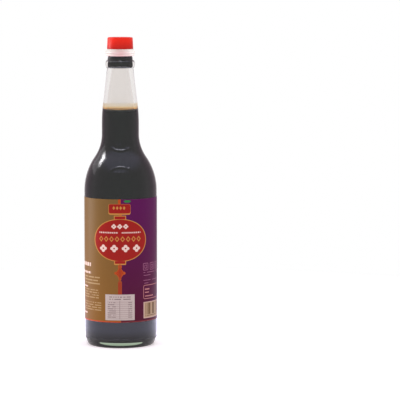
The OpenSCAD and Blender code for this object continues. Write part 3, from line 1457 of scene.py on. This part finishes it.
@dataclass(frozen=True)
class Softbox:
    """A rectangular softbox that faces a height on the bottle's axis."""

    name: str
    azimuth: float
    elevation: float
    far: float
    size: tuple[float, float]
    radiance: float
    aim: float = 0.19
    colour: Colour = (0.98, 0.97, 1.0)

    def build(self, lit: bpy.types.Collection) -> None:
        """Makes the light.

        Args:
            lit: What it lights.
        """
        lamp = bpy.data.lights.new(self.name, "AREA")
        lamp.shape = "RECTANGLE"
        lamp.size, lamp.size_y = self.size
        lamp.energy = self.radiance * math.pi * self.size[0] * self.size[1]
        lamp.color = self.colour
        made = bpy.data.objects.new(self.name, lamp)
        bpy.context.scene.collection.objects.link(made)
        turn = math.radians(self.azimuth)
        rise = math.radians(self.elevation)
        level = math.cos(rise)
        away = Vector((math.sin(turn) * level, -math.cos(turn) * level, math.sin(rise)))
        made.location = Vector((0.0, 0.0, self.aim)) + away * self.far
        made.rotation_mode = "QUATERNION"
        made.rotation_quaternion = away.to_track_quat("Z", "Y")
        made.light_linking.receiver_collection = lit


@dataclass
class Studio:
    """A pale floor in a white room, the softboxes and the camera.

    The floor's ring is in millimetres. Each of the rims is a softbox's width, height and
    radiance, from the bright core outwards.
    """

    distance: float = 2.383
    eye: float = 0.376
    pitch: float = 5.562
    yaw: float = 1.900
    lens: float = 216.4
    floor_radius: float = 0.6
    floor_colour: Colour = (0.88, 0.87, 0.87)
    # The floor's glow is painted light: dimmer near the foot as painted shadow, bright and bluish in
    # the ring for the glass to mirror.
    near_glow: Colour = (0.40, 0.35, 0.37)
    ring_glow: Colour = (1.05, 1.03, 1.50)
    ring_from: float = 80.0
    ring_from_soft: float = 90.0
    ring_to: float = 380.0
    ring_to_soft: float = 300.0
    rims: tuple[tuple[float, float, float], ...] = (
        (0.18, 0.42, 11.0), (0.26, 0.54, 7.0), (0.34, 0.66, 4.0), (0.42, 0.78, 2.0),
    )
    core_azimuth: float = -102.0
    core_elevation: float = 44.0
    core_far: float = 1.28
    rim_behind: float = 0.01
    flank: Softbox = Softbox(
        "flank_left", azimuth=-120.0, elevation=25.0, far=1.45, size=(0.9, 0.5), radiance=0.8
    )
    wash: Softbox = Softbox(
        "wash_left", azimuth=-105.0, elevation=10.0, far=1.4, size=(0.8, 1.1), radiance=5.5,
        aim=0.12, colour=(1.0, 0.98, 0.96),
    )
    edge_lights: tuple[Softbox, ...] = tuple(
        Softbox(
            name, azimuth=turn, elevation=5.0, far=1.2, size=(0.5, 0.6), radiance=18.0,
            aim=0.28, colour=(0.43, 1.0, 1.0),
        )
        for name, turn in (("collar_left", -95.0), ("collar_right", 95.0))
    )
    soft_light: Colour = (0.90, 0.885, 0.89)
    mirrored_walls: Stops = (
        (0.0, (0.88, 0.92, 0.90)), (0.55, (0.85, 0.82, 0.84)), (0.72, (0.62, 0.54, 0.60)),
        (0.93, (0.52, 0.42, 0.47)), (0.985, (0.90, 0.85, 0.88)), (1.0, (1.0, 1.0, 1.0)),
    )
    mirrored_roof: Stops = (
        (0.0, (1.0, 1.0, 1.0)), (0.52, (1.0, 1.0, 1.0)), (0.72, (1.45, 1.45, 1.75)),
        (0.93, (1.6, 1.6, 1.9)), (0.97, (8.0, 8.0, 9.0)), (1.0, (8.0, 8.0, 9.0)),
    )

    def build(
        self,
        glossy: list[bpy.types.Object],
        matt: list[bpy.types.Object],
        collar: list[bpy.types.Object],
    ) -> None:
        """Makes the floor, the room's light, the softboxes and the camera.

        Args:
            glossy: The glass and what is in it, which show the softboxes' shapes.
            matt: Paper and the cap, which a broad light from the left models.
            collar: The white fitment, whose sides are lit from both hands.
        """
        self.floor()
        self.world()
        clear = self.lit("seen_in_the_glass", glossy)
        # Only the nearest face shows, so the bright core stands in front of its dimmer rims.
        for rim, (wide, high, radiance) in enumerate(self.rims):
            name = f"softbox_left_{rim}"
            far = self.core_far + self.rim_behind * rim
            box = Softbox(name, self.core_azimuth, self.core_elevation, far, (wide, high), radiance)
            box.build(clear)
        self.flank.build(clear)
        self.wash.build(self.lit("washed_from_the_left", matt))
        edges = self.lit("edges_of_the_collar", collar)
        for box in self.edge_lights:
            box.build(edges)
        self.camera()
        self.view()

    def lit(self, name: str, pieces: list[bpy.types.Object]) -> bpy.types.Collection:
        """A collection of the pieces that a light reaches."""
        reached = bpy.data.collections.new(name)
        for made in pieces:
            reached.objects.link(made)
        return reached

    def floor(self) -> None:
        """A wide round floor with painted light: it glows in a bluish ring round the bottle and less
        at its foot, a painted shadow over the real contact shadow there.
        """
        shape = bmesh.new()
        bmesh.ops.create_circle(shape, cap_ends=True, segments=96, radius=self.floor_radius)
        made = piece("floor", shape)
        recipe = Recipe("pale_floor")
        right, back, _ = recipe.place()
        out = (right * right + back * back) ** 0.5
        # Painted light: the glow is bright in the ring and dim at the foot, a painted shadow over the
        # real one.
        inner = out.over(self.ring_from, self.ring_from_soft)
        ring = inner & out.under(self.ring_to, self.ring_to_soft)
        darker = tuple(0.98 * c for c in self.floor_colour)
        recipe.set(
            Base_Color=recipe.mix(recipe.noise(3.0), self.floor_colour, darker),
            Roughness=0.9,
            Specular_IOR_Level=0.1,
            Emission_Color=recipe.mix(ring, self.near_glow, self.ring_glow),
            Emission_Strength=1.0,
        )
        made.data.materials.append(recipe.material)

    def world(self) -> None:
        """A white room: plain where seen, softer where it lights, darker-sided where mirrored."""
        world = bpy.data.worlds.new("white_room")
        bpy.context.scene.world = world
        world.use_nodes = True
        room = Room(world.node_tree)
        path = room.node("ShaderNodeLightPath")
        point = room.node("ShaderNodeTexCoord").outputs["Generated"]
        split = room.node("ShaderNodeSeparateXYZ", None, {0: point})
        halved = {0: split.outputs["Y"], 1: 0.5, 2: 0.5}
        half = room.node("ShaderNodeMath", {"operation": "MULTIPLY_ADD"}, halved)
        walls = room.ramp(half.outputs[0], self.mirrored_walls)
        roof = room.ramp(split.outputs["Z"], self.mirrored_roof)
        settings = {"data_type": "RGBA", "blend_type": "MULTIPLY", "clamp_result": False}
        mirrored = room.node("ShaderNodeMix", settings, {0: 1.0, 6: walls, 7: roof}).outputs[2]
        # A ray bent by glass counts as glossy too, so those are taken out.
        crossed = {0: 1.0, 1: path.outputs["Is Transmission Ray"]}
        not_through = room.node("ShaderNodeMath", {"operation": "SUBTRACT"}, crossed)
        bounced = {0: path.outputs["Is Glossy Ray"], 1: not_through.outputs[0]}
        by_mirror = room.node("ShaderNodeMath", {"operation": "MULTIPLY"}, bounced)
        seen = room.mix(by_mirror.outputs[0], (1.0, 1.0, 1.0), mirrored)
        shown = room.mix(path.outputs["Is Diffuse Ray"], seen, self.soft_light)
        sky = room.node("ShaderNodeBackground", None, {"Color": shown})
        output = room.node("ShaderNodeOutputWorld")
        room.tree.links.new(sky.outputs[0], output.inputs["Surface"])

    def camera(self) -> None:
        """The camera in front and a little above, turned so that the bottle stands to the left."""
        data = bpy.data.cameras.new("camera")
        data.lens = self.lens
        data.sensor_width = 36.0
        data.clip_end = 200.0
        made = bpy.data.objects.new("camera", data)
        bpy.context.scene.collection.objects.link(made)
        made.location = (0.0, -self.distance, self.eye)
        made.rotation_euler = (math.radians(90 - self.pitch), 0.0, math.radians(-self.yaw))
        bpy.context.scene.camera = made

    def view(self) -> None:
        """Plain colours, denoised, with enough bounces for glass."""
        scene = bpy.context.scene
        scene.view_settings.view_transform = "Standard"
        scene.view_settings.look = "None"
        scene.cycles.use_denoising = True
        scene.cycles.max_bounces = 24
        scene.cycles.transmission_bounces = 20
        scene.cycles.glossy_bounces = 6
        scene.cycles.diffuse_bounces = 4
        scene.cycles.blur_glossy = 0.3


def main() -> None:
    """Builds the bottle piece by piece, then the studio round it."""
    logging.basicConfig(level=logging.INFO, format="%(name)s: %(message)s")
    glass = GlassBottle()
    glossy = [glass.build(), *Sauce(glass).build()]
    collar = [PourCollar(glass).build()]
    matt = [RedCap().build(), wrap_label(), facts_sticker()]
    Studio().build(glossy, matt, collar)


if __name__ == "__main__":
    main()
